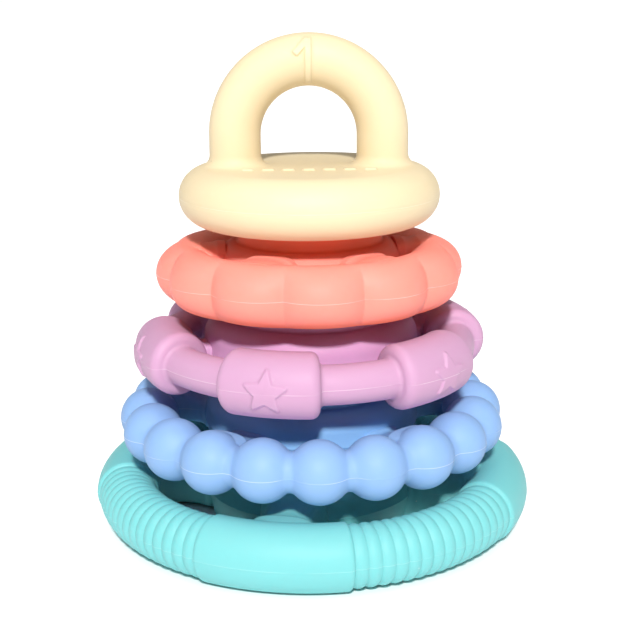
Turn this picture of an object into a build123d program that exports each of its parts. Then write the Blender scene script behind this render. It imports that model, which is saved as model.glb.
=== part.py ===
from build123d import *
import os
from math import cos, radians, sin, sqrt

# Silicone ring stacker: five one-piece mouldings that stack on one vertical axis.
# Frame: origin on the floor under the column, +Z up, -Y towards the front, millimetres.
# An azimuth is counted in degrees from the front (-Y) towards +X.
# Each moulding is built about its own mid-plane and then lifted into place.

# Heights of the stack
BASE_PLANE = 9.0                # lowest ring's mid-plane above the floor
FIRST_PITCH = 20.8              # from the lowest mid-plane to the next
PITCH = 21.9                    # between the mid-planes above that
GAP = 0.3                       # clearance between a spigot and the socket over it
BEAD_PLANE = BASE_PLANE + FIRST_PITCH
STAR_PLANE = BEAD_PLANE + PITCH
SCALLOP_PLANE = STAR_PLANE + PITCH
TOP_PLANE = SCALLOP_PLANE + PITCH

# Hubs: a column with rounded shoulders, a spigot on top and a socket underneath
SHOULDER_START = 3.3            # where the side starts to round over, above the mid-plane
SPIGOT_TOP = 20.4               # closed end of the spigot, above the mid-plane
SPIGOT_ROUND = 2.0              # rounding of the spigot's top edge
ROOF = 3.2                      # thickness of the spigot's closed end
LEDGE = SPIGOT_TOP - PITCH + GAP  # ledge inside the socket, which sits on the spigot below
WIDE_HUB = {"rim": 29.6, "waist": 31.2, "top": 30.9, "shoulder": 6.0, "spigot": 24.5, "bore": 21.3}
SLIM_HUB = {"rim": 26.9, "waist": 27.4, "top": 26.4, "shoulder": 5.5, "spigot": 20.6, "bore": 17.4}
WIDE_RIM_DROP = 8.7             # bottom rim of a wide hub below its mid-plane
BASE_HOLLOW_RADIUS = 26.0       # open underside of the lowest hub
BASE_HOLLOW_TOP = 4.6           # its ceiling, above the mid-plane

# Base ring: four smooth cuffs with ribbed grips between them
BASE_RING = 54.8                # radius to the tube's centre
BASE_TUBE = 9.0
CUFF_SWEEP = 39.5
CUFF_ROUND = 1.3
BASE_START = -9.8               # azimuth of the first cuff and its spoke
BASE_COUNT = 4
RIBS_PER_GRIP = 15
RIB_CREST = 8.4
RIB_VALLEY = 7.85
RIB_WIDTH = 3.7
BASE_SPOKE = {"width": 14.0, "bottom": -8.5, "top": 6.6, "round": 5.0}

# Bead ring
BEAD_RING = 47.7
BEAD_RADIUS = 8.62
BEAD_COUNT = 20
BEAD_START = 2.34               # azimuth of the first bead
BEAD_CORE = 5.5                 # tube that fills the necks between beads
BEADS_PER_SPOKE = 4
BEAD_SPOKE_START = BEAD_START + 2 * 360 / BEAD_COUNT  # under the third bead
BEAD_SPOKE = {"width": 9.6, "bottom": -5.0, "top": 5.2, "round": 4.6}

# Star ring: a slim tube with thick cuffs, each with a raised star
STAR_RING = 42.15
STAR_NECK = 5.35
STAR_CUFF = 8.85
STAR_SWEEP = 33.0
STAR_ROUND = 2.4
STAR_START = -13.5
STAR_COUNT = 6
STAR_POINTS = 5
STAR_SIZE = 6.7                 # centre of the star to its points
STAR_INNER = 0.47               # inner corners, as a share of that
STAR_RISE = 0.5                 # centre of the star above the mid-plane
RELIEF = 0.5                    # height of a raised mark above the surface
STAR_SPOKE = {"width": 9.0, "bottom": -4.2, "top": 3.4, "round": 3.4}

# Scalloped ring: the outer wall is a row of shallow lobes
SCALLOP_RING = 35.3
SCALLOP_TUBE = 8.3
LOBE_COUNT = 12
LOBE_START = 5.2
LOBE_CENTRE = 29.9              # centre of a lobe's outline, from the axis
LOBE_RADIUS = 14.2
LOBE_STEPS = 4
LOBES_PER_SPOKE = 2
SCALLOP_SPOKE_START = -24.8
SCALLOP_SPOKE = {"width": 13.0, "bottom": -6.6, "top": 6.6, "round": 5.0}

# Handle top: a round-edged disc with an arched handle
DISC_RADIUS = 36.9
DISC_HALF = 8.15                # half of the disc's thickness
ARCH_RADIUS = 20.7
ARCH_TUBE = 7.26
ARCH_HEIGHT = 16.6              # arch's centre above the disc's mid-plane
POCKET_TOP = 4.4                # ceiling of the hollow above the disc's socket
NUMERAL_HEIGHT = 12.0
NUMERAL_STROKE = 1.7
FLAG_LENGTH = 5.6
FLAG_LEAN = 40.0
DASH_COUNT = 7
DASH_SPACING = 5.6
DASH_LENGTH = 3.4
DASH_WIDTH = 1.5
DASH_FRONT = 12.0               # row of dashes in front of the disc's centre


def facing(azimuth, shape):
    """Turn a shape that was built towards the front to an azimuth."""
    return Rot(0, 0, azimuth) * shape


def ring_of(count, start, shape):
    """Copies of a front-facing shape, evenly spaced round the axis."""
    return [facing(start + i * 360 / count, shape) for i in range(count)]


def rounded_corner(outer, top, radius):
    """Quarter arc, in radius and height, from an upright side to a flat top."""
    return CenterArc((outer - radius, top - radius), radius, 0, 90)


def hub(size, drop, spigot_top):
    """Outside of a hub: side, shoulder and spigot, solid to the axis."""
    ledge = SHOULDER_START + size["shoulder"]
    side = Polyline((0, -drop), (size["rim"], -drop), (size["waist"], 0), (size["top"], SHOULDER_START))
    shoulder = rounded_corner(size["top"], ledge, size["shoulder"])
    neck = Polyline(shoulder @ 1, (size["spigot"], ledge), (size["spigot"], spigot_top - SPIGOT_ROUND))
    corner = rounded_corner(size["spigot"], spigot_top, SPIGOT_ROUND)
    closing = Polyline(corner @ 1, (0, spigot_top), (0, -drop))
    outline = Plane.XZ * make_face(side + shoulder + neck + corner + closing)
    return revolve(outline, Axis.Z)


def hollow(mouth_radius, drop, ledge, bore_radius, ceiling):
    """Stepped hollow under a hub, to be cut away; it starts below the rim."""
    bottom = -drop - ROOF
    steps = [(0, bottom), (mouth_radius, bottom), (mouth_radius, ledge), (bore_radius, ledge)]
    steps += [(bore_radius, ceiling), (0, ceiling)]
    outline = Plane.XZ * make_face(Polyline(*steps, close=True))
    return revolve(outline, Axis.Z)


def socket(below, size, drop):
    """Hollow that takes the spigot of the hub below."""
    return hollow(below["spigot"] + GAP, drop, LEDGE, size["bore"], SPIGOT_TOP - ROOF)


def spoke(inner, outer, size):
    """Rounded bar from the hub to the ring, towards the front."""
    height = size["top"] - size["bottom"]
    middle = (size["top"] + size["bottom"]) / 2
    section = RectangleRounded(size["width"], height, size["round"])
    return extrude(Plane.XZ.offset(inner) * Pos(0, middle) * section, outer - inner)


def tube_arc(ring_radius, tube_radius, sweep, end_round):
    """Length of round tube bent about the axis, centred on the front, with rounded ends."""
    circle = Plane.XZ * Pos(ring_radius, 0) * Circle(tube_radius)
    arc = Rot(0, 0, -90 - sweep / 2) * revolve(circle, Axis.Z, sweep)
    ends = arc.faces().filter_by(GeomType.PLANE)
    return fillet(ends.edges(), end_round)


def rib():
    """One barrel-shaped rib across the base ring's tube, at the front."""
    half = RIB_WIDTH / 2
    crest = ThreePointArc((-half, RIB_VALLEY), (0, RIB_CREST), (half, RIB_VALLEY))
    rest = Polyline((half, RIB_VALLEY), (half, 0), (-half, 0), (-half, RIB_VALLEY))
    barrel = revolve(make_face(crest + rest), Axis.X)
    return Pos(0, -BASE_RING, 0) * barrel


def base_ring():
    cuff = tube_arc(BASE_RING, BASE_TUBE, CUFF_SWEEP, CUFF_ROUND)
    grip_sweep = 360 / BASE_COUNT - CUFF_SWEEP
    pitch = grip_sweep / RIBS_PER_GRIP
    first = CUFF_SWEEP / 2 + pitch / 2
    ribs = [facing(first + i * pitch, rib()) for i in range(RIBS_PER_GRIP)]
    grip = Part() + ribs
    bar = spoke(WIDE_HUB["bore"] + ROOF, BASE_RING, BASE_SPOKE)
    quarter = [cuff, grip, bar]
    pieces = [piece for shape in quarter for piece in ring_of(BASE_COUNT, BASE_START, shape)]
    top = SPIGOT_TOP - PITCH + FIRST_PITCH
    body = hub(WIDE_HUB, BASE_PLANE, top) + pieces
    underside = hollow(BASE_HOLLOW_RADIUS, BASE_PLANE, BASE_HOLLOW_TOP, WIDE_HUB["bore"], top - ROOF)
    return body - underside


def bead_ring():
    bead = Pos(0, -BEAD_RING, 0) * Rot(0, 0, -90) * Sphere(BEAD_RADIUS)
    beads = ring_of(BEAD_COUNT, BEAD_START, bead)
    bar = spoke(WIDE_HUB["bore"] + ROOF, BEAD_RING, BEAD_SPOKE)
    spokes = ring_of(BEAD_COUNT // BEADS_PER_SPOKE, BEAD_SPOKE_START, bar)
    strand = Torus(BEAD_RING, BEAD_CORE) + beads
    middle = hub(WIDE_HUB, WIDE_RIM_DROP, SPIGOT_TOP) + spokes - socket(WIDE_HUB, WIDE_HUB, WIDE_RIM_DROP)
    return middle + strand


def star_points():
    """Corners of a star that stands on two of its points, from the top point round."""
    corners = []
    step = 180 / STAR_POINTS
    for i in range(2 * STAR_POINTS):
        reach = STAR_SIZE * (STAR_INNER if i % 2 else 1)
        angle = radians(90 + step * i)
        corners.append((reach * cos(angle), reach * sin(angle)))
    return corners


def star_ring():
    cuff = tube_arc(STAR_RING, STAR_CUFF, STAR_SWEEP, STAR_ROUND)
    skin = tube_arc(STAR_RING, STAR_CUFF + RELIEF, STAR_SWEEP, STAR_ROUND)
    outline = Pos(0, STAR_RISE) * make_face(Polyline(*star_points(), close=True))
    star = extrude(Plane.XZ.offset(STAR_RING) * outline, 2 * STAR_CUFF) & skin
    bar = spoke(WIDE_HUB["bore"] + ROOF, STAR_RING, STAR_SPOKE)
    pieces = [piece for shape in (cuff + star, bar) for piece in ring_of(STAR_COUNT, STAR_START, shape)]
    body = hub(WIDE_HUB, WIDE_RIM_DROP, SPIGOT_TOP) + Torus(STAR_RING, STAR_NECK) + pieces
    return body - socket(WIDE_HUB, WIDE_HUB, WIDE_RIM_DROP)


def lobe_section(angle):
    """Cross-section of the scalloped tube at an angle from the middle of a lobe."""
    across = LOBE_CENTRE * sin(radians(angle))
    edge = LOBE_CENTRE * cos(radians(angle)) + sqrt(LOBE_RADIUS**2 - across**2)
    outer = EllipticalCenterArc((SCALLOP_RING, 0), edge - SCALLOP_RING, SCALLOP_TUBE, -90, arc_size=180)
    inner = CenterArc((SCALLOP_RING, 0), SCALLOP_TUBE, 90, 180)
    return Rot(0, 0, angle - 90) * (Plane.XZ * make_face(outer + inner))


def scalloped_ring():
    half = 180 / LOBE_COUNT
    angles = [-half + i * 2 * half / LOBE_STEPS for i in range(LOBE_STEPS + 1)]
    lobe = loft([lobe_section(angle) for angle in angles])
    lobes = ring_of(LOBE_COUNT, LOBE_START, lobe)
    bar = spoke(SLIM_HUB["bore"] + ROOF, SCALLOP_RING, SCALLOP_SPOKE)
    spokes = ring_of(LOBE_COUNT // LOBES_PER_SPOKE, SCALLOP_SPOKE_START, bar)
    body = hub(SLIM_HUB, SCALLOP_TUBE, SPIGOT_TOP) + lobes + spokes
    return body - socket(WIDE_HUB, SLIM_HUB, SCALLOP_TUBE)


def numeral():
    """Raised figure one on the front of the arch."""
    skin = Torus(ARCH_RADIUS, ARCH_TUBE + RELIEF)
    skin = Pos(0, 0, ARCH_HEIGHT) * Rot(90, 0, 0) * skin
    stroke = Rectangle(NUMERAL_STROKE, NUMERAL_HEIGHT)
    flag = Rot(0, 0, -FLAG_LEAN) * Pos(0, -FLAG_LENGTH / 2) * Rectangle(NUMERAL_STROKE, FLAG_LENGTH)
    outline = stroke + Pos(0, NUMERAL_HEIGHT / 2) * flag
    placed = Plane.XZ * Pos(0, ARCH_HEIGHT + ARCH_RADIUS) * outline
    return extrude(placed, 2 * ARCH_TUBE) & skin


def handle():
    """Half hoop on two straight legs that stand on the disc."""
    foot = Pos(ARCH_RADIUS, 0) * Circle(ARCH_TUBE)
    hoop = Pos(0, 0, ARCH_HEIGHT) * revolve(foot, Axis.Y, -180)
    legs = [extrude(Pos(side * ARCH_RADIUS, 0) * Circle(ARCH_TUBE), ARCH_HEIGHT) for side in (-1, 1)]
    return hoop + legs


def handle_top():
    edge = DISC_RADIUS - DISC_HALF
    disc = Cylinder(edge, 2 * DISC_HALF) + Torus(edge, DISC_HALF)
    dash = Pos(0, -DASH_FRONT, DISC_HALF) * SlotOverall(DASH_LENGTH, DASH_WIDTH)
    dash = extrude(dash, RELIEF, both=True)
    middle = (DASH_COUNT - 1) / 2
    dashes = [Pos((i - middle) * DASH_SPACING, 0, 0) * dash for i in range(DASH_COUNT)]
    body = disc + handle() + numeral() + dashes
    return body - hollow(SLIM_HUB["spigot"] + GAP, DISC_HALF, LEDGE, SLIM_HUB["bore"], POCKET_TOP)


MOULDINGS = {
    "base_ring": (base_ring, BASE_PLANE),
    "bead_ring": (bead_ring, BEAD_PLANE),
    "star_ring": (star_ring, STAR_PLANE),
    "scalloped_ring": (scalloped_ring, SCALLOP_PLANE),
    "handle_top": (handle_top, TOP_PLANE),
}

os.makedirs("parts", exist_ok=True)
for node, (make, plane) in MOULDINGS.items():
    moulding = Pos(0, 0, plane) * make()
    export_step(moulding, "parts/" + node + ".step")
    print(node, "solids", len(moulding.solids()), "volume", round(moulding.volume))
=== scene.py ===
# %% [markdown]
# # A silicone ring stacker
# Five soft silicone mouldings stack on one column: a ribbed base ring, a bead ring, a ring with
# star cuffs, a scalloped ring and a round top with a carrying handle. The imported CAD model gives
# every size and place. This lesson builds each moulding again as a finer mesh, with its rounded
# joins, parting lines and raised marks, and gives it a matte silicone finish.

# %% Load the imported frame
import bpy
import numpy as np
from math import cos, pi, radians, sin, sqrt
from mathutils import Matrix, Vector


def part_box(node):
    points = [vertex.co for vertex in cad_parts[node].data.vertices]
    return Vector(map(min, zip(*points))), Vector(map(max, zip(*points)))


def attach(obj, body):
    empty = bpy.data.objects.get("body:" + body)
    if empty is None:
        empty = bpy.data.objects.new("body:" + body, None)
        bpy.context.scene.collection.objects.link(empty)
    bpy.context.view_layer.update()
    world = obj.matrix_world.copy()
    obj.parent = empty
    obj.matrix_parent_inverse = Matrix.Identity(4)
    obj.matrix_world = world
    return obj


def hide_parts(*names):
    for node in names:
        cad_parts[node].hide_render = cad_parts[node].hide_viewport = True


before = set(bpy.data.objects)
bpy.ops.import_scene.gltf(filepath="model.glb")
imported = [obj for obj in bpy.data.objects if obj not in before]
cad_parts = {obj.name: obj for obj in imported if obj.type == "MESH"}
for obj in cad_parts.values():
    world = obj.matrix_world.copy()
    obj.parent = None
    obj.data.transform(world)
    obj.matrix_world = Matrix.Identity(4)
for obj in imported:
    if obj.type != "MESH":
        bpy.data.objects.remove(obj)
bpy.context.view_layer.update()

# %% [markdown]
# Sizes are easier to read in millimetres, so the script keeps them in millimetres and turns them
# into metres only where a mesh is made. The mid-plane of each moulding comes from its CAD node:
# the tube's thickness is known, so half of it above the lowest point is the mid-plane.

# %% Heights of the mid-planes
MM = 0.001
TUBE = {"base": 9.0, "bead": 8.62, "star": 8.85, "scallop": 8.3, "top": 8.15}
HUB_DROP = 8.7


def lowest(node):
    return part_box(node)[0].z / MM


PLANE = {
    "base": lowest("base_ring") + TUBE["base"],
    "bead": lowest("bead_ring") + HUB_DROP,
    "star": lowest("star_ring") + TUBE["star"],
    "scallop": lowest("scalloped_ring") + TUBE["scallop"],
    "top": lowest("handle_top") + TUBE["top"],
}
PITCH = PLANE["top"] - PLANE["scallop"]
print("mid-planes in mm", {name: round(height, 2) for name, height in PLANE.items()})

# %% [markdown]
# ## Arithmetic that becomes nodes
# The shape of each ring follows a rule: how thick the tube is at each place round the ring. In
# Geometry Nodes such a rule is a long chain of Math nodes. A small class lets Python's own
# arithmetic lay that chain, so that the rule reads like a formula.


# %% A number inside a node tree
class Measure:
    """A number in a node tree: + - * / on it add Math nodes."""

    def __init__(self, tree, socket):
        self.tree = tree
        self.socket = socket

    def step(self, operation, *others):
        node = self.tree.nodes.new("ShaderNodeMath")
        node.operation = operation
        for entry, value in zip(node.inputs, (self, *others)):
            if isinstance(value, Measure):
                self.tree.links.new(value.socket, entry)
            else:
                entry.default_value = value
        return Measure(self.tree, node.outputs[0])

    def __add__(self, other):
        return self.step("ADD", other)

    def __sub__(self, other):
        return self.step("SUBTRACT", other)

    def __mul__(self, other):
        return self.step("MULTIPLY", other)

    def __truediv__(self, other):
        return self.step("DIVIDE", other)

    def share(self, start, end):
        """0 before start, 1 after end, and even between them."""
        return ((self - start) / (end - start)).step("MAXIMUM", 0.0).step("MINIMUM", 1.0)

    def nearest(self):
        return self.step("ROUND")


# %% [markdown]
# ## A ring from a flat grid
# A grid of one by one is bent into a ring: one side becomes the way round the axis and the other
# the way round the tube. A rule says, for each place on the way round, what the azimuth is, where
# the tube's centre is and how far the tube reaches outwards, inwards and up. The grid lines are
# drawn together at the outer equator, where each moulding has a hair-thin parting line. That line
# is real geometry: a ridge of about six hundredths of a millimetre.

# %% Tree that bends a grid into a ring
PARTING_RIDGE = 0.06
PARTING_WIDTH = 0.12
CROWDING = 0.82
WELD = 0.000002


def new_tree(name):
    tree = bpy.data.node_groups.new(name, "GeometryNodeTree")
    tree.interface.new_socket("Geometry", in_out="INPUT", socket_type="NodeSocketGeometry")
    tree.interface.new_socket("Geometry", in_out="OUTPUT", socket_type="NodeSocketGeometry")
    return tree


def named_inputs(tree, sizes, counts):
    """Adds number inputs to a tree and gives each one as a Measure."""
    for words, kind in ((sizes, "NodeSocketFloat"), (counts, "NodeSocketInt")):
        for word, value in words.items():
            socket = tree.interface.new_socket(word, in_out="INPUT", socket_type=kind)
            socket.default_value = value
    entry = tree.nodes.new("NodeGroupInput")
    return {word: Measure(tree, entry.outputs[word]) for word in (*sizes, *counts)}


def chain(tree, socket, kind, **inputs):
    """Adds a node fed by a geometry socket, and returns its geometry output."""
    node = tree.nodes.new(kind)
    tree.links.new(socket, node.inputs[0])
    for name, value in inputs.items():
        entry = node.inputs[name.replace("_", " ")]
        if isinstance(value, bpy.types.NodeSocket):
            tree.links.new(value, entry)
        else:
            entry.default_value = value
    return node.outputs[0]


def finish_tree(tree, socket, material):
    """Ends a tree: real meshes in place of instances, and the material."""
    socket = chain(tree, socket, "GeometryNodeRealizeInstances")
    socket = chain(tree, socket, "GeometryNodeSetMaterial", Material=material)
    tree.links.new(socket, tree.nodes.new("NodeGroupOutput").inputs[0])


def unit_grid(tree, steps_x, steps_y):
    """Grid of one by one, and its two coordinates as Measures from -0.5 to 0.5."""
    grid = tree.nodes.new("GeometryNodeMeshGrid")
    for side, steps in (("X", steps_x), ("Y", steps_y)):
        grid.inputs["Size " + side].default_value = 1.0
        tree.links.new((steps + 1).socket, grid.inputs["Vertices " + side])
    place = tree.nodes.new("ShaderNodeSeparateXYZ")
    tree.links.new(tree.nodes.new("GeometryNodeInputPosition").outputs[0], place.inputs[0])
    return grid.outputs["Mesh"], Measure(tree, place.outputs["X"]), Measure(tree, place.outputs["Y"])


def move_to(tree, socket, x, y, z):
    """Sets each point's position from three Measures in millimetres."""
    position = tree.nodes.new("ShaderNodeCombineXYZ")
    for entry, value in zip(position.inputs, (x, y, z)):
        tree.links.new((value * MM).socket, entry)
    socket = chain(tree, socket, "GeometryNodeSetPosition", Position=position.outputs[0])
    return chain(tree, socket, "GeometryNodeMergeByDistance", Distance=WELD)


def ring_tree(name, sizes, rule, material):
    tree = new_tree(name)
    size = named_inputs(tree, sizes, {"Steps round": 360, "Steps across": 80})
    grid, along, across = unit_grid(tree, size["Steps round"], size["Steps across"])
    azimuth, centre, outward, inward, upward = rule(size, along)
    even = across * (2 * pi)
    turn = even - even.step("SINE") * CROWDING
    cosine = turn.step("COSINE")
    is_outside = cosine.step("GREATER_THAN", 0.0)
    reach = is_outside * (outward - inward) + inward
    ridge = ((turn * outward / PARTING_WIDTH).step("POWER", 2.0) * -1.0).step("EXPONENT")
    radius = centre + cosine * (reach + (ridge - 1.0) * PARTING_RIDGE)
    x = radius * azimuth.step("SINE")
    y = radius * azimuth.step("COSINE") * -1.0
    socket = move_to(tree, grid, x, y, turn.step("SINE") * upward)
    finish_tree(tree, socket, material)
    return tree


# %% [markdown]
# A repeated feature is handled once: the way round is cut into equal units, and inside a unit the
# rule works with the distance from the unit's middle, from 0 there to 1 at its ends.

# %% Cut the way round into units
def in_unit(along, count):
    """Number of the unit, side of its middle (-1 or 1), and share of the way to its end."""
    place = along * count
    number = place.nearest()
    offset = (place - number) * 2.0
    return number, offset.step("SIGN"), offset.step("ABSOLUTE")


def azimuth_of(number, side, distance, size, count):
    """Azimuth of a place that lies an arc distance from the middle of a unit."""
    return number * (2 * pi / count) + side * distance / size["Ring radius"] + size["Start"]


# %% [markdown]
# Running a tree: the modifier gets its numbers by socket identifier, the evaluated result is
# copied into a plain mesh, and the modifier goes. A helper turns the mesh right side out if its
# volume comes out negative, and another joins the shells of one moulding into one piece.

# %% Turn a tree into a plain mesh
def coordinates(mesh):
    points = np.empty(len(mesh.vertices) * 3)
    mesh.vertices.foreach_get("co", points)
    return points.reshape(-1, 3)


def signed_volume(mesh):
    mesh.calc_loop_triangles()
    corners = np.empty(len(mesh.loop_triangles) * 3, int)
    mesh.loop_triangles.foreach_get("vertices", corners)
    a, b, c = coordinates(mesh)[corners.reshape(-1, 3)].transpose(1, 0, 2)
    return float(np.einsum("ij,ij->i", a, np.cross(b, c)).sum() / 6)


def face_outwards(mesh):
    if signed_volume(mesh) < 0:
        mesh.flip_normals()
    return mesh


def run_tree(tree, values, start=None):
    """Plain mesh that a tree makes from a starting mesh and named input values."""
    maker = bpy.data.objects.new("maker", start or bpy.data.meshes.new("start"))
    bpy.context.collection.objects.link(maker)
    modifier = maker.modifiers.new("shape", "NODES")
    modifier.node_group = tree
    for item in tree.interface.items_tree:
        if item.name in values:
            modifier[item.identifier] = values[item.name]
    evaluated = maker.evaluated_get(bpy.context.evaluated_depsgraph_get())
    result = bpy.data.meshes.new_from_object(evaluated)
    maker.modifiers.remove(modifier)
    bpy.data.objects.remove(maker)
    return face_outwards(result)


def plain_mesh(name, points, faces, material):
    """Mesh from points in millimetres."""
    mesh = bpy.data.meshes.new(name)
    mesh.from_pydata((np.asarray(points) * MM).tolist(), [], faces)
    mesh.materials.append(material)
    return face_outwards(mesh)


def one_piece(name, shells, height, material, crease=48):
    """Unites closed shells built about a mid-plane into one skin at that height."""
    makers = [bpy.data.objects.new(name + " shell", mesh) for mesh in shells]
    for maker in makers:
        bpy.context.collection.objects.link(maker)
    for maker in makers[1:]:
        union = makers[0].modifiers.new("union", "BOOLEAN")
        union.operation = "UNION"
        union.solver = "MANIFOLD"
        union.object = maker
    evaluated = makers[0].evaluated_get(bpy.context.evaluated_depsgraph_get())
    whole = bpy.data.meshes.new_from_object(evaluated)
    for maker in makers:
        bpy.data.objects.remove(maker)
    whole.name = name
    whole.transform(Matrix.Translation((0, 0, height * MM)))
    whole.materials.clear()
    whole.materials.append(material)
    whole.shade_smooth()
    whole.set_sharp_from_angle(angle=radians(crease))
    piece = bpy.data.objects.new(name, face_outwards(whole))
    bpy.context.collection.objects.link(piece)
    volume = signed_volume(whole) * 1e6
    print(name, "shells", len(shells), "triangles", len(whole.loop_triangles), "cm3", round(volume, 1))
    return piece


# %% [markdown]
# ## Silicone
# Moulded silicone is matte and a little translucent. Up close its colour drifts slightly, the
# skin has a very fine grain from the mould, and it gathers specks of dust. The drift, the grain
# and the dust are shader groups, built once, and each colour places them with its own values. The
# shader itself stays in the material.

# %% Shader groups for silicone
def effect_group(name, inputs, outputs):
    """New shader group whose inputs and outputs are numbers."""
    group = bpy.data.node_groups.new(name, "ShaderNodeTree")
    for word, value in inputs.items():
        socket = group.interface.new_socket(word, in_out="INPUT", socket_type="NodeSocketFloat")
        socket.default_value = value
    for word in outputs:
        group.interface.new_socket(word, in_out="OUTPUT", socket_type="NodeSocketFloat")
    entry = group.nodes.new("NodeGroupInput")
    leave = group.nodes.new("NodeGroupOutput")
    place = group.nodes.new("ShaderNodeTexCoord").outputs["Object"]
    return group, {word: Measure(group, entry.outputs[word]) for word in inputs}, leave, place


def texture(tree, kind, place, scale, **settings):
    node = tree.nodes.new(kind)
    tree.links.new(place, node.inputs["Vector"])
    if isinstance(scale, Measure):
        tree.links.new(scale.socket, node.inputs["Scale"])
    else:
        node.inputs["Scale"].default_value = scale
    for name, value in settings.items():
        node.inputs[name].default_value = value
    return node


def send(tree, measure, leave, name):
    tree.links.new(measure.socket, leave.inputs[name])


# Colour drift: broad clouds and a finer mottle, as a shade from about -1 to 1
drift_sizes = {"Cloud size": 28.0, "Mottle size": 420.0}
drift, number, leave, place = effect_group("silicone drift", drift_sizes, ["Shade"])
cloud = texture(drift, "ShaderNodeTexNoise", place, number["Cloud size"], Detail=3.0)
mottle = texture(drift, "ShaderNodeTexNoise", place, number["Mottle size"], Detail=2.0)
cloud, mottle = (Measure(drift, node.outputs[0]) - 0.5 for node in (cloud, mottle))
send(drift, cloud * 2.2 + mottle * 0.9, leave, "Shade")

# Mould grain: height of the skin, in millimetres
grain_sizes = {"Grain size": 3200.0, "Wave size": 160.0}
grain, number, leave, place = effect_group("mould grain", grain_sizes, ["Height"])
skin = texture(grain, "ShaderNodeTexNoise", place, number["Grain size"], Detail=2.0, Roughness=0.6)
wave = texture(grain, "ShaderNodeTexNoise", place, number["Wave size"], Detail=1.0)
skin, wave = (Measure(grain, node.outputs[0]) - 0.5 for node in (skin, wave))
send(grain, skin * 0.02 + wave * 0.035, leave, "Height")

# Dust: small round specks at a few of the cells of a Voronoi pattern
speck_sizes = {"Speck spacing": 330.0, "Speck share": 0.03}
dust, number, leave, place = effect_group("dust specks", speck_sizes, ["Mask"])
cells = texture(dust, "ShaderNodeTexVoronoi", place, number["Speck spacing"])
colour = dust.nodes.new("ShaderNodeSeparateColor")
dust.links.new(cells.outputs["Color"], colour.inputs[0])
chosen = Measure(dust, colour.outputs[0]).step("LESS_THAN", number["Speck share"])
speck = Measure(dust, cells.outputs["Distance"]) * -1.0 + Measure(dust, colour.outputs[1]) * 0.06 + 0.05
send(dust, speck.share(0.0, 0.04) * chosen, leave, "Mask")

# Painted shade: surfaces near the axis and undersides take a painted shade colour, standing in for shaded
# bounce light; the outside keeps the plain colour
painted_shade_radii = {"Start radius": 0.03, "Full radius": 0.04}
painted_shade, number, leave, place = effect_group("painted_shade", painted_shade_radii, ["Mask"])
split = painted_shade.nodes.new("ShaderNodeSeparateXYZ")
painted_shade.links.new(place, split.inputs[0])
x, y = (Measure(painted_shade, split.outputs[i]) for i in (0, 1))
facing = painted_shade.nodes.new("ShaderNodeSeparateXYZ")
painted_shade.links.new(painted_shade.nodes.new("ShaderNodeNewGeometry").outputs["Normal"], facing.inputs[0])
underside = (Measure(painted_shade, facing.outputs[2]) * -1.0).share(0.6, 0.9)
away_from_axis = (x * x + y * y).step("SQRT").share(number["Start radius"], number["Full radius"])
send(painted_shade, away_from_axis * (underside * -1.0 + 1.0), leave, "Mask")

# Parting line: a painted highlight, thin, a little broken, and only on the outside
parting, number, leave, place = effect_group("parting line", {"Height": 0.01, "Width": 0.00012}, ["Mask"])
split = parting.nodes.new("ShaderNodeSeparateXYZ")
parting.links.new(place, split.inputs[0])
away = (Measure(parting, split.outputs[2]) - number["Height"]).step("ABSOLUTE") / number["Width"]
patches = texture(parting, "ShaderNodeTexNoise", place, 90.0, Detail=2.0)
broken = Measure(parting, patches.outputs[0]).share(0.35, 0.55)
send(parting, (away * -1.0 + 1.0).share(0.0, 0.6) * broken, leave, "Mask")


# %% Silicone in one colour
def srgb(red, green, blue):
    """Linear colour from the 0-255 values of a colour picker."""
    shares = [value / 255 for value in (red, green, blue)]
    return tuple(s / 12.92 if s <= 0.04045 else ((s + 0.055) / 1.055) ** 2.4 for s in shares) + (1.0,)


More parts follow.
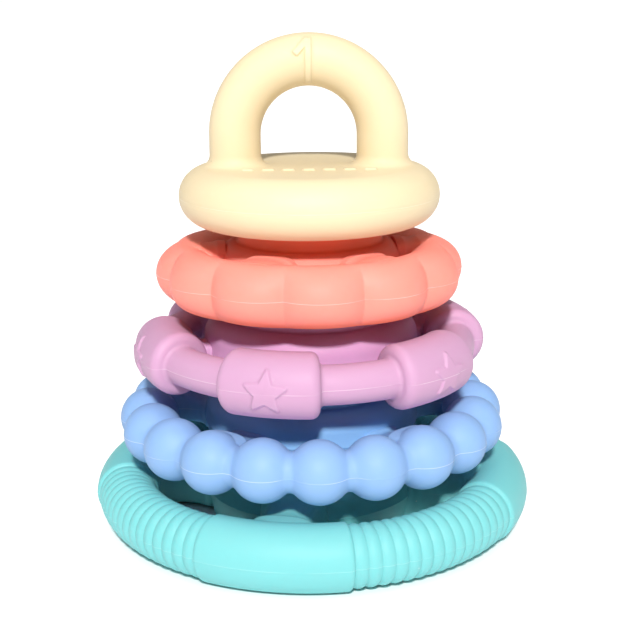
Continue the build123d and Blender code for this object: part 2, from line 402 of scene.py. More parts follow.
def silicone(name, plane, colour, painted_shade_colour, painted_shade_edges, dust_colour, glow, highlight_strength):
    """Matte silicone: painted shade colour by the hub and on undersides, plain colour outside, a painted
    highlight on the parting line, drift and dust over both.
    """
    material = bpy.data.materials.new(name)
    material.use_nodes = True
    tree = material.node_tree
    shader = tree.nodes["Principled BSDF"]

    def placed(group):
        node = tree.nodes.new("ShaderNodeGroup")
        node.node_tree = group
        return node

    def mixed(factor, first, second):
        mix = tree.nodes.new("ShaderNodeMix")
        mix.data_type = "RGBA"
        tree.links.new(factor.socket, mix.inputs["Factor"])
        for entry, value in ((mix.inputs[6], first), (mix.inputs[7], second)):
            if isinstance(value, bpy.types.NodeSocket):
                tree.links.new(value, entry)
            else:
                entry.default_value = value
        return mix.outputs[2]

    shade = Measure(tree, placed(drift).outputs["Shade"])
    specks = Measure(tree, placed(dust).outputs["Mask"])
    outside = placed(painted_shade)
    outside.inputs["Start radius"].default_value = painted_shade_edges[0] * MM
    outside.inputs["Full radius"].default_value = painted_shade_edges[1] * MM
    # painted shade: the plain colour gives way to the painted shade colour near the axis and on undersides
    body = mixed(Measure(tree, outside.outputs["Mask"]), painted_shade_colour, colour)
    deeper = tuple(0.9 * value for value in colour[:3]) + (1.0,)
    body = mixed((shade * 0.25 + 0.25).share(0.0, 1.0), body, deeper)
    line = placed(parting)
    line.inputs["Height"].default_value = PLANE[plane] * MM
    # painted highlight along the parting line, lighter where the ridge would catch the light
    parting_highlight = Measure(tree, line.outputs["Mask"]) * Measure(tree, outside.outputs["Mask"]) * highlight_strength
    body = mixed(parting_highlight, body, PALE_DUST_AND_HIGHLIGHT)
    tree.links.new(mixed(specks * 0.55, body, dust_colour), shader.inputs["Base Color"])
    tree.links.new((shade * 0.05 + specks * 0.25 + 0.52).socket, shader.inputs["Roughness"])
    bump = tree.nodes.new("ShaderNodeBump")
    bump.inputs["Strength"].default_value = 0.35
    bump.inputs["Distance"].default_value = MM
    tree.links.new(placed(grain).outputs["Height"], bump.inputs["Height"])
    tree.links.new(bump.outputs["Normal"], shader.inputs["Normal"])
    shader.inputs["IOR"].default_value = 1.41
    shader.inputs["Specular IOR Level"].default_value = 0.32
    shader.inputs["Subsurface Weight"].default_value = 0.2
    shader.inputs["Subsurface Radius"].default_value = glow
    shader.inputs["Subsurface Scale"].default_value = 7.0 * MM
    return material


# pale colour, used for dust specks and for the painted highlight on the parting line
PALE_DUST_AND_HIGHLIGHT = srgb(250, 250, 248)
GREY_DUST = srgb(176, 170, 150)
# each colour: plain colour, painted shade colour, where that painted shade ends in mm, dust colour,
# subsurface radius, strength of the painted highlight on the parting line
TEAL = silicone("teal silicone", "base", srgb(115, 189, 191), srgb(115, 206, 206),
                (33, 44), PALE_DUST_AND_HIGHLIGHT, (0.2, 1.0, 1.0), 0.1)
BLUE = silicone("blue silicone", "bead", srgb(131, 166, 211), srgb(126, 175, 225),
                (32, 40), PALE_DUST_AND_HIGHLIGHT, (0.4, 0.65, 1.0), 0.25)
PINK = silicone("pink silicone", "star", srgb(188, 147, 178), srgb(206, 153, 197),
                (32, 37), PALE_DUST_AND_HIGHLIGHT, (1.0, 0.5, 0.8), 0.2)
PEACH = silicone("peach silicone", "scallop", srgb(247, 143, 129), srgb(255, 121, 80),
                 (21, 24), PALE_DUST_AND_HIGHLIGHT, (1.0, 0.2, 0.1), 0.2)
CREAM = silicone("cream silicone", "top", srgb(221, 204, 169), srgb(221, 203, 166),
                 (15, 24), GREY_DUST, (1.0, 0.9, 0.6), 0.15)

# %% [markdown]
# ## Turned and bridged parts
# The hub of every moulding is turned: one outline, spun round the axis. It has a slightly conical
# side, a rounded shoulder, a spigot on top and a stepped socket underneath. The outline is written
# as points, with an arc wherever the real edge is round, so that even the socket's mouth is soft.


# %% Turn an outline round the axis
def arc(centre_radius, centre_height, radius, start, end, steps=8):
    """Points of an arc; angles in degrees, 0 outwards and 90 up."""
    angles = np.radians(np.linspace(start, end, steps + 1))
    return [(centre_radius + radius * cos(a), centre_height + radius * sin(a)) for a in angles]


def turned(name, outline, material, steps=180):
    """Closed shell from (radius, height) points; the first and last points lie on the axis."""
    angles = np.linspace(0, 2 * pi, steps, endpoint=False)
    inner = outline[1:-1]
    points = [(0, 0, outline[0][1]), (0, 0, outline[-1][1])]
    points += [(r * sin(a), -r * cos(a), z) for r, z in inner for a in angles]
    faces = []
    for row in range(len(inner) - 1):
        for i in range(steps):
            j = (i + 1) % steps
            a, b = 2 + row * steps + i, 2 + row * steps + j
            faces.append((a, b, b + steps, a + steps))
    last = 2 + (len(inner) - 1) * steps
    for i in range(steps):
        j = (i + 1) % steps
        faces += [(0, 2 + j, 2 + i), (1, last + i, last + j)]
    return plain_mesh(name, points, faces, material)


# %% Hub outline
SOFT = 0.8                      # rounding of rims and mouths
SHOULDER_START = 3.3
SPIGOT_TOP = 20.4
SPIGOT_ROUND = 2.0
ROOF = 3.2
GAP = 0.3
LEDGE = SPIGOT_TOP - PITCH + GAP
WIDE = {"rim": 29.6, "waist": 31.2, "top": 30.9, "shoulder": 6.0, "spigot": 24.5, "bore": 21.3}
SLIM = {"rim": 26.9, "waist": 27.4, "top": 26.4, "shoulder": 5.5, "spigot": 20.6, "bore": 17.4}


def seam(radius, height):
    """Parting line on an upright side: three points make its hair-thin ridge."""
    ridge = radius + PARTING_RIDGE
    return [(radius, height - PARTING_WIDTH), (ridge, height), (radius, height + PARTING_WIDTH)]


def hub_outline(hub, drop, spigot_top, mouth, ledge, bore, ceiling):
    """From the axis on top, down the outside, and up through the hollow underneath."""
    spigot, shoulder = hub["spigot"], hub["shoulder"]
    top = SHOULDER_START + shoulder
    return (
        [(0, spigot_top)]
        + arc(spigot - SPIGOT_ROUND, spigot_top - SPIGOT_ROUND, SPIGOT_ROUND, 90, 0)
        + arc(spigot + SOFT, top + SOFT, SOFT, 180, 270, 4)
        + arc(hub["top"] - shoulder, SHOULDER_START, shoulder, 90, 0, 12)
        + seam(hub["waist"], 0)[::-1]
        + arc(hub["rim"] - SOFT, SOFT - drop, SOFT, 0, -90, 5)
        + arc(mouth + SOFT, SOFT - drop, SOFT, 270, 180, 5)
        + [(mouth, ledge - 0.05), (mouth - 0.05, ledge), (bore + 0.05, ledge), (bore, ledge + 0.05)]
        + arc(bore - SOFT, ceiling - SOFT, SOFT, 0, 90, 4)
        + [(0, ceiling)]
    )


def socket_hub(name, hub, drop, below, material):
    """Hub whose socket takes the spigot of the hub below it."""
    mouth = below["spigot"] + GAP
    outline = hub_outline(hub, drop, SPIGOT_TOP, mouth, LEDGE, hub["bore"], SPIGOT_TOP - ROOF)
    return turned(name, outline, material)


# %% [markdown]
# Spokes join hub and ring. They are moulded in one with both, so their ends widen into soft
# fillets instead of meeting the walls at a hard corner. A tree bends a grid into one such bar and
# repeats it round the axis.


# %% Tree for spokes
SPOKE_SIZES = {
    "Inner": 27.0, "Outer": 47.7, "Hub edge": 31.2, "Ring edge": 42.0, "Half width": 5.0,
    "Hub top": 5.0, "Ring top": 5.0, "Bottom": -5.0, "Lowest": -8.6, "Flare": 2.0, "Flare length": 1.4,
    "Start": 0.0,
}


def round_axis(tree, socket, count, start):
    """Copies of a front-facing shape, evenly spaced round the axis."""
    spots = tree.nodes.new("GeometryNodeMeshLine")
    spots.inputs["Count"].default_value = count
    spots.inputs["Offset"].default_value = (0, 0, 0)
    angle = Measure(tree, tree.nodes.new("GeometryNodeInputIndex").outputs[0]) * (2 * pi / count) + start
    turned_by = tree.nodes.new("ShaderNodeCombineXYZ")
    tree.links.new(angle.socket, turned_by.inputs["Z"])
    to_rotation = tree.nodes.new("FunctionNodeEulerToRotation")
    tree.links.new(turned_by.outputs[0], to_rotation.inputs[0])
    copies = tree.nodes.new("GeometryNodeInstanceOnPoints")
    tree.links.new(spots.outputs[0], copies.inputs["Points"])
    tree.links.new(socket, copies.inputs["Instance"])
    tree.links.new(to_rotation.outputs[0], copies.inputs["Rotation"])
    return copies.outputs[0]


def rounded_wave(turn, wave, other):
    """Sine or cosine with fuller shoulders, for a rounded-rectangle section."""
    shoulder = turn.step(other).step("POWER", 2.0) * 0.34 + 1.0
    return turn.step(wave) * shoulder


def spoke_tree(name, count, material):
    tree = new_tree(name)
    size = named_inputs(tree, SPOKE_SIZES, {"Steps along": 40, "Steps across": 48})
    grid, along, across = unit_grid(tree, size["Steps along"], size["Steps across"])
    share = along + 0.5
    radius = share * (size["Outer"] - size["Inner"]) + size["Inner"]
    from_hub = (radius - size["Hub edge"]).step("MAXIMUM", 0.0) / size["Flare length"] * -1.0
    from_ring = (size["Ring edge"] - radius).step("MAXIMUM", 0.0) / size["Flare length"] * -1.0
    flare = (from_hub.step("EXPONENT") + from_ring.step("EXPONENT")) * size["Flare"]
    rise = radius.share(size["Hub edge"], size["Ring edge"])
    rise = rise * rise * (rise * -2.0 + 3.0)
    top = rise * (size["Ring top"] - size["Hub top"]) + size["Hub top"] + flare * 0.6
    bottom = (size["Bottom"] - flare * 0.6).step("MAXIMUM", size["Lowest"])
    middle = (top + bottom) * 0.5
    closed = share.step("GREATER_THAN", 0.001) * share.step("LESS_THAN", 0.999)
    turn = across * (2 * pi)
    x = rounded_wave(turn, "COSINE", "SINE") * (size["Half width"] + flare) * closed
    z = rounded_wave(turn, "SINE", "COSINE") * (top - middle) * closed + middle
    bar = move_to(tree, grid, x, radius * -1.0, z)
    finish_tree(tree, round_axis(tree, bar, count, size["Start"]), material)
    return tree


# %% [markdown]
# ## Base ring
# The lowest ring has four smooth cuffs with ribbed grips between them. In the rule for its tube, a
# cuff is level, then rounds down at its end into the first groove, and then come the ribs, each a
# shallow barrel with a sharp groove on both sides.

# %% Base ring: tube
GRIP_RIBS = 15
CUFFS = 4
BASE_STEPS = 77                 # steps of the grid in half a unit: cuff, end and grip
CUFF_STEPS = 12
END_STEPS = 17                  # last step of the cuff's rounded end
END_TURN = radians(70)


def base_rule(size, along):
    number, side, place = in_unit(along, CUFFS)
    cuff = place.share(0.0, CUFF_STEPS / BASE_STEPS)
    edge = place.share(CUFF_STEPS / BASE_STEPS, END_STEPS / BASE_STEPS) * END_TURN
    grip = place.share(END_STEPS / BASE_STEPS, 1.0)
    crowded = cuff * 1.35 - cuff * cuff * cuff * 0.35
    grip_length = size["Ring radius"] * (pi / 4) - size["Cuff half"]
    end_length = size["Cuff end"] * sin(END_TURN)
    arc_length = crowded * (size["Cuff half"] - end_length) + edge.step("SINE") * size["Cuff end"]
    arc_length = arc_length + grip * grip_length
    rib = grip * (GRIP_RIBS / 2)
    across = (rib.step("FRACT") - 0.5) * 2.0
    rib_reach = (across * across * -1.0 + 1.0) * (size["Rib crest"] - size["Rib valley"]) + size["Rib valley"]
    cuff_reach = size["Cuff"] - size["Cuff end"] + edge.step("COSINE") * size["Cuff end"]
    on_ribs = grip.step("GREATER_THAN", 0.0001)
    reach = on_ribs * (rib_reach - cuff_reach) + cuff_reach
    azimuth = azimuth_of(number, side, arc_length, size, CUFFS)
    return azimuth, size["Ring radius"], reach, reach, reach


BASE_RING = 54.8
BASE_START = radians(-9.8)
base_sizes = {
    "Ring radius": BASE_RING, "Cuff": TUBE["base"], "Cuff half": radians(39.5 / 2) * BASE_RING,
    "Cuff end": 1.3, "Rib crest": 8.4, "Rib valley": 7.85, "Start": BASE_START,
}
base_tree = ring_tree("base ring tube", base_sizes, base_rule, TEAL)
base_tube = run_tree(base_tree, {"Steps round": CUFFS * 2 * BASE_STEPS, "Steps across": 72})

# %% [markdown]
# The base ring's hub stands on the floor and is open underneath. Four broad spokes, one behind
# each cuff, reach almost down to the floor.

# %% Base ring: hub, spokes and the whole piece
HOLLOW_RADIUS = 26.0
HOLLOW_TOP = 4.6
base_top = SPIGOT_TOP - PITCH + PLANE["bead"] - PLANE["base"]
ceiling = base_top - ROOF
outline = hub_outline(WIDE, TUBE["base"], base_top, HOLLOW_RADIUS, HOLLOW_TOP, WIDE["bore"], ceiling)
base_hub = turned("base hub", outline, TEAL)
base_spokes = run_tree(spoke_tree("base spokes", CUFFS, TEAL), {
    "Inner": 28.0, "Outer": BASE_RING, "Hub edge": 31.0, "Ring edge": 46.1, "Half width": 7.0, "Hub top": 6.4,
    "Ring top": 6.4, "Bottom": -8.5, "Lowest": -8.8, "Flare": 2.4, "Flare length": 1.7, "Start": BASE_START,
})
base_piece = one_piece("teal_base_ring", [base_tube, base_hub, base_spokes], PLANE["base"], TEAL)

# %% [markdown]
# ## Bead ring
# Twenty round beads run into each other along a slimmer core. The rule cuts a sphere at every
# azimuth and takes the larger of that cut and the core; Math's smooth maximum leaves the soft
# blend between two beads.

# %% Bead ring
BEADS = 20
BEAD_RING = 47.7
BEAD_START = radians(2.34)


def bead_rule(size, along):
    number, side, place = in_unit(along, BEADS)
    angle = (place * 1.3 - place * place * place * 0.3) * (pi / BEADS)
    across = angle.step("SINE") * size["Ring radius"]
    cut = (size["Bead"] * size["Bead"] - across * across).step("MAXIMUM", 0.0).step("SQRT")
    shift = (angle.step("COSINE") - 1.0) * size["Ring radius"]
    cuts = (cut + shift, cut - shift, cut)
    reach = [value.step("SMOOTH_MAX", size["Core"], size["Blend"]) for value in cuts]
    azimuth = azimuth_of(number, side, angle * size["Ring radius"], size, BEADS)
    return azimuth, size["Ring radius"], *reach


bead_sizes = {"Ring radius": BEAD_RING, "Bead": TUBE["bead"], "Core": 5.5, "Blend": 1.1, "Start": BEAD_START}
bead_tube = run_tree(ring_tree("bead ring tube", bead_sizes, bead_rule, BLUE),
                     {"Steps round": BEADS * 26, "Steps across": 80})
bead_spokes = run_tree(spoke_tree("bead spokes", 5, BLUE), {
    "Inner": 27.5, "Outer": BEAD_RING, "Hub edge": 31.0, "Ring edge": 40.6, "Half width": 5.2, "Hub top": 2.2,
    "Ring top": 5.4, "Bottom": -4.6, "Flare": 1.9, "Flare length": 1.5, "Start": radians(2.34 + 36),
})
bead_hub = socket_hub("bead hub", WIDE, HUB_DROP, WIDE, BLUE)
bead_piece = one_piece("blue_bead_ring", [bead_tube, bead_hub, bead_spokes], PLANE["bead"], BLUE)

# %% [markdown]
# ## Star ring
# Six thick cuffs sit on a slim tube. A cuff's end rounds over and then runs out in a small fillet
# on the tube. Both are quarter circles, so the rule moves along the tube by a sine and in towards
# its centre by a cosine.

# %% Star ring: tube and spokes
STAR_CUFFS = 6
STAR_RING = 42.15
STAR_START = radians(-13.5)
STAR_STEPS = 37                 # steps of the grid in half a unit
LEVEL_STEPS = 14                # last step of the level cuff, of its end and of its fillet
ROUND_STEPS = 22
ROOT_STEPS = 28


def star_rule(size, along):
    number, side, place = in_unit(along, STAR_CUFFS)
    level = place.share(0.0, LEVEL_STEPS / STAR_STEPS)
    end = place.share(LEVEL_STEPS / STAR_STEPS, ROUND_STEPS / STAR_STEPS) * (pi / 2)
    root = place.share(ROUND_STEPS / STAR_STEPS, ROOT_STEPS / STAR_STEPS) * (pi / 2)
    neck = place.share(ROOT_STEPS / STAR_STEPS, 1.0)
    root_size = size["Cuff"] - size["Cuff end"] - size["Neck"]
    arc_length = level * (size["Cuff half"] - size["Cuff end"]) + end.step("SINE") * size["Cuff end"]
    arc_length = arc_length + (root.step("COSINE") * -1.0 + 1.0) * root_size
    arc_length = arc_length + neck * (size["Ring radius"] * (pi / 6) - size["Cuff half"] - root_size)
    reach = size["Neck"] + (root.step("SINE") * -1.0 + 1.0) * root_size
    reach = reach + end.step("COSINE") * size["Cuff end"]
    azimuth = azimuth_of(number, side, arc_length, size, STAR_CUFFS)
    return azimuth, size["Ring radius"], reach, reach, reach


star_sizes = {
    "Ring radius": STAR_RING, "Cuff": TUBE["star"], "Cuff half": radians(16.5) * STAR_RING, "Cuff end": 2.4,
    "Neck": 5.35, "Start": STAR_START,
}
star_tube = run_tree(ring_tree("star ring tube", star_sizes, star_rule, PINK),
                     {"Steps round": STAR_CUFFS * 2 * STAR_STEPS, "Steps across": 76})
star_spokes = run_tree(spoke_tree("star spokes", STAR_CUFFS, PINK), {
    "Inner": 27.5, "Outer": STAR_RING, "Hub edge": 31.0, "Ring edge": 35.5, "Half width": 4.2, "Hub top": 2.4,
    "Ring top": 5.2, "Bottom": -4.2, "Flare": 1.5, "Flare length": 1.2, "Start": STAR_START,
})
star_hub = socket_hub("star hub", WIDE, HUB_DROP, WIDE, PINK)

# %% [markdown]
# Each cuff carries a raised star. A raised mark is a patch whose height follows the distance to
# its outline: level inside, rounded over at the edge, and a little below the skin outside. The
# patch is laid out in rays, which meet the outline at the right place, and then bent onto the
# cuff. A tree repeats the one star on all six cuffs.

# %% Raised marks
RELIEF = 0.5
SUNK = 0.12                     # how far a mark's patch dips under the skin outside its outline
PATCH_FLOOR = -0.6              # underside of a patch, below the skin
STAR_POINTS = 5
STAR_SIZE = 6.7                 # centre of the star to its points
STAR_INNER = 0.47               # inner corners, as a share of that
STAR_RISE = 0.15                # centre of the star above the mid-plane
STAR_LEAN = radians(2.5)


def edge_distance(points, corners):
    """Distance from each point to a closed outline, negative inside it."""
    ends = np.roll(corners, -1, axis=0)
    along = ends - corners
    from_corner = points[:, None] - corners
    share = np.clip((from_corner * along).sum(2) / (along * along).sum(1), 0, 1)
    distance = np.linalg.norm(from_corner - share[..., None] * along, axis=2).min(1)
    crosses = (corners[:, 1] > points[:, None, 1]) != (ends[:, 1] > points[:, None, 1])
    slope = along[:, 0] / np.where(along[:, 1] == 0, 1e-9, along[:, 1])
    left = points[:, None, 0] < corners[:, 0] + slope * from_corner[..., 1]
    return np.where((crosses & left).sum(1) % 2 == 1, -distance, distance)


def mark_height(distance, soft=0.3):
    """Height of a raised mark: rounded edge, and sunk a little outside the outline."""
    share = np.clip(0.5 - distance / (2 * soft), 0, 1)
    return RELIEF * share**2 * (3 - 2 * share) - SUNK * (distance > soft)


def rayed_mark(name, distance, reach, bend, material, rays=150):
    """Closed patch for a mark that every ray from its middle leaves only once."""
    angles = np.linspace(0, 2 * pi, rays, endpoint=False)
    directions = np.column_stack([np.cos(angles), np.sin(angles)])
    near, far = np.zeros(rays), np.full(rays, reach)
    for _ in range(30):
        middle = (near + far) / 2
        inside = distance(directions * middle[:, None]) < 0
        near, far = np.where(inside, middle, near), np.where(inside, far, middle)
    shares = [0.3, 0.55, 0.72, 0.83, 0.9, 0.94, 0.97, 1.0, 1.03, 1.06, 1.1, 1.16]
    flat = np.vstack([directions * (near * share)[:, None] for share in shares])
    height = mark_height(distance(flat))
    rows = [bend(flat, height), bend(flat[-rays:], np.full(rays, PATCH_FLOOR))]
    middles = np.array([[0.0, 0.0], [0.0, 0.0]])
    rows.append(bend(middles, np.array([RELIEF, PATCH_FLOOR])))
    points = np.vstack(rows)
    faces = []
    loops = len(shares) + 1
    for i in range(rays):
        j = (i + 1) % rays
        for row in range(0, (loops - 1) * rays, rays):
            faces.append((row + i, row + rays + i, row + rays + j, row + j))
        faces += [(len(points) - 2, i, j), (len(points) - 1, (loops - 1) * rays + j, (loops - 1) * rays + i)]
    return plain_mesh(name, points, faces, material)


# %% Stars
def star_distance(points):
    """Five points, softened by growing a slightly smaller star."""
    grown = 0.45
    shrink = 1 - grown / (STAR_SIZE * STAR_INNER * 0.79)
    corner_numbers = range(2 * STAR_POINTS)
    reach = [STAR_SIZE * shrink * (STAR_INNER if i % 2 else 1.0) for i in corner_numbers]
    angles = [pi / 2 - STAR_LEAN + i * pi / STAR_POINTS for i in corner_numbers]
    corners = np.array([(r * cos(a), r * sin(a)) for r, a in zip(reach, angles)])
    return edge_distance(points, corners) - grown


def on_cuff(flat, height):
    """Bends a flat patch onto the front cuff, where the star sits a little above the middle."""
    x, z = flat[:, 0], flat[:, 1] + STAR_RISE
    radius = STAR_RING + np.sqrt((TUBE["star"] + height) ** 2 - z**2)
    return np.column_stack([x, -np.sqrt(radius**2 - x**2), z])


def copies_tree(name, count, start, material):
    """Tree that repeats its incoming geometry round the axis."""
    tree = new_tree(name)
    size = named_inputs(tree, {"Start": start}, {})
    incoming = tree.nodes.new("NodeGroupInput").outputs[0]
    finish_tree(tree, round_axis(tree, incoming, count, size["Start"]), material)
    return tree


one_star = rayed_mark("star", star_distance, 9.0, on_cuff, PINK)
stars = run_tree(copies_tree("stars", STAR_CUFFS, STAR_START, PINK), {}, one_star)
star_piece = one_piece("pink_star_ring", [star_tube, star_hub, star_spokes, stars], PLANE["star"], PINK)

# %% [markdown]
# ## Scalloped ring
# Twelve shallow lobes. Seen from above, a lobe's edge is an arc round its own centre, so the rule
# for the outward reach is that of a circle that doesn't sit on the axis. The groove between two
# lobes is deepest at the equator and fades out above and below, because only the outward reach
# changes. A square root rounds the bottom of the groove a little.

# %% Scalloped ring
LOBES = 12
SCALLOP_RING = 35.3


def lobe_rule(size, along):
    number, side, place = in_unit(along, LOBES)
    angle = (place * 1.4 - place * place * place * 0.4) * (pi / LOBES)
    from_groove = angle * -1.0 + pi / LOBES
    softened = (from_groove * from_groove + size["Groove"] * size["Groove"]).step("SQRT")
    softened = softened * -1.0 + pi / LOBES
    across = softened.step("SINE") * size["Lobe centre"]
    edge = (size["Lobe radius"] * size["Lobe radius"] - across * across).step("SQRT")
    outward = softened.step("COSINE") * size["Lobe centre"] + edge - size["Ring radius"]
    azimuth = azimuth_of(number, side, angle * size["Ring radius"], size, LOBES)
    return azimuth, size["Ring radius"], outward, size["Tube"], size["Tube"]


lobe_sizes = {
    "Ring radius": SCALLOP_RING, "Tube": TUBE["scallop"], "Lobe centre": 29.9, "Lobe radius": 14.2,
    "Groove": radians(0.5), "Start": radians(5.2),
}
lobe_tube = run_tree(ring_tree("scalloped ring tube", lobe_sizes, lobe_rule, PEACH),
                     {"Steps round": LOBES * 44, "Steps across": 80})
lobe_spokes = run_tree(spoke_tree("scalloped ring spokes", LOBES // 2, PEACH), {
    "Inner": 24.0, "Outer": SCALLOP_RING, "Hub edge": 26.5, "Ring edge": 31.0, "Half width": 7.2,
    "Hub top": 8.0, "Ring top": 7.9, "Bottom": -6.2, "Flare": 1.0, "Flare length": 1.2,
    "Start": radians(-24.8),
})
lobe_hub = socket_hub("scalloped ring hub", SLIM, TUBE["scallop"], WIDE, PEACH)
lobe_piece = one_piece("peach_scalloped_ring", [lobe_tube, lobe_hub, lobe_spokes], PLANE["scallop"], PEACH)

# %% [markdown]
# ## Handle top
# A thick disc with a fully round edge carries a hoop-shaped handle. The handle is a round bar that
# follows a half circle and two straight legs; each leg widens into the disc in a fillet. Its own
# parting line runs along the outside and the inside of the hoop.

# %% Handle top: disc
DISC_FLAT = 28.75
POCKET_TOP = 4.4
half = TUBE["top"]
disc_outline = (
    [(0, half), (20, half)]
    + arc(DISC_FLAT, 0, half, 90, 2.5, 22)
    + [(DISC_FLAT + half - PARTING_RIDGE, PARTING_WIDTH), (DISC_FLAT + half, 0)]
    + [(DISC_FLAT + half - PARTING_RIDGE, -PARTING_WIDTH)]
    + arc(DISC_FLAT, 0, half, -2.5, -90, 22)
    + arc(SLIM["spigot"] + GAP + SOFT, SOFT - half, SOFT, 270, 180, 5)
    + [(SLIM["spigot"] + GAP, LEDGE), (SLIM["bore"], LEDGE)]
    + arc(SLIM["bore"] - SOFT, POCKET_TOP - SOFT, SOFT, 0, 90, 4)
    + [(0, POCKET_TOP)]
)
disc = turned("disc", disc_outline, CREAM, 216)

# %% Handle top: handle
ARCH = 20.7
BAR = 7.26
ARCH_CENTRE = 16.6
FOOT = 3.0


def handle_bar(name, material, across=72):
    """Bar swept along leg, half circle and leg, with a fillet at each foot."""
    even = np.linspace(0, 2 * pi, across, endpoint=False)
    turn = even - 0.4 * np.sin(2 * even)
    from_seam = np.minimum(np.abs(np.sin(turn)), 1) * BAR
    ridge = PARTING_RIDGE * (np.exp(-((from_seam / PARTING_WIDTH) ** 2)) - 1)
    leg = [half - 1.5, *(half + FOOT * np.array([0, 0.03, 0.1, 0.2, 0.35, 0.55, 0.8, 1.0])), 13.0, 15.0]
    path = [(-ARCH, z, pi, z) for z in leg]
    path += [(-ARCH * cos(a), ARCH_CENTRE + ARCH * sin(a), pi - a, None) for a in np.linspace(0, pi, 73)]
    path += [(ARCH, z, 0.0, z) for z in leg[::-1]]
    rings = []
    for x, z, out, height in path:
        rise = np.clip(FOOT if height is None else height - half, 0, FOOT)
        fillet = FOOT - sqrt(FOOT**2 - (FOOT - rise) ** 2)
        radius = BAR + ridge + fillet
        side = radius * np.cos(turn)
        ring = np.column_stack([x + side * cos(out), -radius * np.sin(turn), z + side * sin(out)])
        beyond = np.clip(np.hypot(ring[:, 0], ring[:, 1]) - DISC_FLAT, 0, None)
        ring[:, 2] -= (half - np.sqrt(half**2 - beyond**2)) * (1 - rise / FOOT) ** 2
        rings.append(ring)
    points = np.vstack([*rings, [[-ARCH, 0, leg[0]], [ARCH, 0, leg[0]]]])
    faces = []
    for k in range(len(path) - 1):
        for i in range(across):
            j = (i + 1) % across
            faces.append((k * across + i, k * across + j, (k + 1) * across + j, (k + 1) * across + i))
    last = (len(path) - 1) * across
    for i in range(across):
        j = (i + 1) % across
        faces += [(len(points) - 2, j, i), (len(points) - 1, last + i, last + j)]
    return plain_mesh(name, points, faces, material)


handle = handle_bar("handle", CREAM)

# %% [markdown]
# The top has two kinds of raised mark: a figure 1 on the front of the hoop, and a row of short
# dashes on the disc in front of it. The figure isn't a shape that rays from one middle can reach,
# so it is a fine grid over the hoop instead, with the same rule for its height.

# %% Handle top: figure and dashes
FIGURE_HALF = 6.0               # half the height of the upright stroke
FLAG_LENGTH = 5.6
FLAG_LEAN = radians(40)
STROKE_HALF = 0.85
CORNER = 0.3                    # rounding of a stroke's corners
DASHES = 7
DASH_SPACING = 5.6
DASH_FRONT = 12.0               # row of dashes in front of the disc's centre
DASH_HALF = 0.95                # half of a dash's straight part
DASH_ROUND = 0.75


def gridded_mark(name, distance, width, height, bend, material, cell=0.13):
    """Closed slab under the skin, raised where the mark is."""
    columns, rows = int(width / cell) + 1, int(height / cell) + 1
    across = np.linspace(-width / 2, width / 2, columns)
    x, z = np.meshgrid(across, np.linspace(-height / 2, height / 2, rows))
    flat = np.column_stack([x.ravel(), z.ravel()])
    points = np.vstack([bend(flat, mark_height(distance(flat), 0.26)), bend(flat, np.full(len(flat), -0.8))])
    count = columns * rows
    faces = []
    for r in range(rows - 1):
        for c in range(columns - 1):
            a = r * columns + c
            quad = (a, a + 1, a + 1 + columns, a + columns)
            faces += [quad, tuple(count + v for v in quad[::-1])]
    border = [*range(columns), *(r * columns + columns - 1 for r in range(1, rows))]
    border += [*range(count - 2, count - columns - 1, -1), *(r * columns for r in range(rows - 2, 0, -1))]
    for a, b in zip(border, border[1:] + border[:1]):
        faces.append((b, a, count + a, count + b))
    return plain_mesh(name, points, faces, material)


def bar_distance(points, start, end, half_width):
    """Distance to a straight stroke with slightly rounded corners."""
    start, end = np.array(start), np.array(end)
    along = (end - start) / np.linalg.norm(end - start)
    offset = points - (start + end) / 2
    lengthwise = np.abs(offset @ along) - np.linalg.norm(end - start) / 2 + CORNER
    sideways = np.abs(offset @ np.array([-along[1], along[0]])) - half_width + CORNER
    outside = np.hypot(np.maximum(lengthwise, 0), np.maximum(sideways, 0))
    return outside + np.minimum(np.maximum(lengthwise, sideways), 0) - CORNER


def figure_distance(points):
    """Figure 1: an upright stroke and a flag that leans down to the left of its top."""
    tip = (-FLAG_LENGTH * sin(FLAG_LEAN), FIGURE_HALF - FLAG_LENGTH * cos(FLAG_LEAN))
    upright = bar_distance(points, (0, -FIGURE_HALF), (0, FIGURE_HALF), STROKE_HALF)
    return np.minimum(upright, bar_distance(points, tip, (-0.1, FIGURE_HALF - 0.4), STROKE_HALF))


def on_hoop(flat, height):
    """Bends a flat patch onto the front of the hoop's top."""
    x, z = flat[:, 0], flat[:, 1] + ARCH_CENTRE + ARCH
    offset = np.hypot(x, z - ARCH_CENTRE) - ARCH
    return np.column_stack([x, -np.sqrt(np.maximum((BAR + height) ** 2 - offset**2, 0.01)), z])


figure = gridded_mark("figure", figure_distance, 10.0, 13.2, on_hoop, CREAM)


def dash_distance(points):
    return np.hypot(np.maximum(np.abs(points[:, 0]) - DASH_HALF, 0), points[:, 1]) - DASH_ROUND


def dash_shell(place):
    def on_disc(flat, height):
        return np.column_stack([flat[:, 0] + place, flat[:, 1] - DASH_FRONT, half + height])
    return rayed_mark("dash", dash_distance, 4.0, on_disc, CREAM, 40)


dashes = [dash_shell((i - DASHES // 2) * DASH_SPACING) for i in range(DASHES)]
top_piece = one_piece("cream_handle_top", [disc, handle, figure, *dashes], PLANE["top"], CREAM)

# %% [markdown]
# ## Tell the frame what each piece stands for
# Every moulding is one piece, rides on its own body and takes the place of its CAD node.

# %% Ride and replace
PIECES = [
    (base_piece, "base", "base_ring"), (bead_piece, "beads", "bead_ring"), (star_piece, "stars", "star_ring"),
    (lobe_piece, "scallops", "scalloped_ring"), (top_piece, "top", "handle_top"),
]
for piece, body, node in PIECES:
    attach(piece, body)
    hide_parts(node)

# %% [markdown]
# ## Floor, light and camera
# A pale floor runs far behind the object. One key light in front, fairly high and not very large,
# gives the crisp shadow edges that separate the rings, and a weak even fill keeps them open.

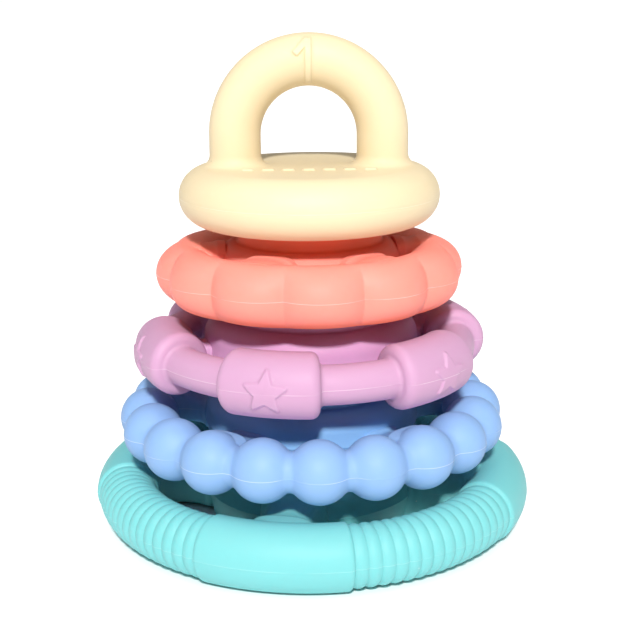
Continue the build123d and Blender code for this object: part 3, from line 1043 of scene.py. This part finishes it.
# %% Floor
def pale_floor():
    material = bpy.data.materials.new("pale floor")
    material.use_nodes = True
    tree = material.node_tree
    shader = tree.nodes["Principled BSDF"]
    node = tree.nodes.new("ShaderNodeGroup")
    node.node_tree = drift
    node.inputs["Cloud size"].default_value = 3.0
    node.inputs["Mottle size"].default_value = 40.0
    value = Measure(tree, node.outputs["Shade"]) * 0.006 + 0.9
    colour = tree.nodes.new("ShaderNodeCombineColor")
    for entry in colour.inputs:
        tree.links.new(value.socket, entry)
    tree.links.new(colour.outputs[0], shader.inputs["Base Color"])
    shader.inputs["Roughness"].default_value = 0.7
    shader.inputs["Specular IOR Level"].default_value = 0.1
    place = tree.nodes.new("ShaderNodeTexCoord").outputs["Object"]
    distance = tree.nodes.new("ShaderNodeVectorMath")
    distance.operation = "LENGTH"
    tree.links.new(place, distance.inputs[0])
    clear = Measure(tree, distance.outputs["Value"]).share(58 * MM, 68 * MM)
    glow = tree.nodes.new("ShaderNodeCombineColor")
    for entry in glow.inputs:
        tree.links.new(clear.socket, entry)
    tree.links.new(glow.outputs[0], shader.inputs["Emission Color"])
    shader.inputs["Emission Strength"].default_value = 0.2
    return material


floor_mesh = bpy.data.meshes.new("floor")
floor_mesh.from_pydata([(-40, -10, 0), (40, -10, 0), (40, 80, 0), (-40, 80, 0)], [], [(0, 1, 2, 3)])
floor_mesh.materials.append(pale_floor())
floor = bpy.data.objects.new("floor", floor_mesh)
bpy.context.collection.objects.link(floor)

# %% Light
key = bpy.data.objects.new("key light", bpy.data.lights.new("key light", "SUN"))
key.data.energy = 4.1
key.data.angle = radians(5)
key.data.color = (1.0, 0.985, 0.965)
key.rotation_euler = (radians(90 - 39), 0, 0)
bpy.context.collection.objects.link(key)

overhead = bpy.data.objects.new("overhead light", bpy.data.lights.new("overhead light", "SUN"))
overhead.data.energy = 0.8
overhead.data.angle = radians(60)
overhead.rotation_euler = (radians(12), 0, 0)
bpy.context.collection.objects.link(overhead)

world = bpy.data.worlds.new("fill")
world.use_nodes = True
background = world.node_tree.nodes["Background"]
background.inputs["Color"].default_value = (1, 1, 1, 1)
seen = Measure(world.node_tree, world.node_tree.nodes.new("ShaderNodeLightPath").outputs["Is Camera Ray"])
world.node_tree.links.new((seen * 0.8 + 0.22).socket, background.inputs["Strength"])
bpy.context.scene.world = world
bpy.context.scene.view_settings.view_transform = "Standard"

# %% [markdown]
# The camera stands in front, a little above the handle, and looks down by about fourteen degrees.
# Its small shift frames the object without turning it.

# %% Camera
camera = bpy.data.objects.new("camera", bpy.data.cameras.new("camera"))
camera.data.sensor_width = 36
camera.data.lens = 70.81
camera.data.shift_x = 0.0072
camera.data.shift_y = 0.0027
camera.data.clip_start = 0.01
camera.data.clip_end = 200
place = Matrix.Translation((0.0, -349.26 * MM, 149.4 * MM))
tilt = Matrix.Rotation(radians(90 - 14.47), 4, "X")
roll = Matrix.Rotation(radians(-0.57), 4, "Z")
camera.matrix_world = place @ tilt @ roll
bpy.context.collection.objects.link(camera)
bpy.context.scene.camera = camera
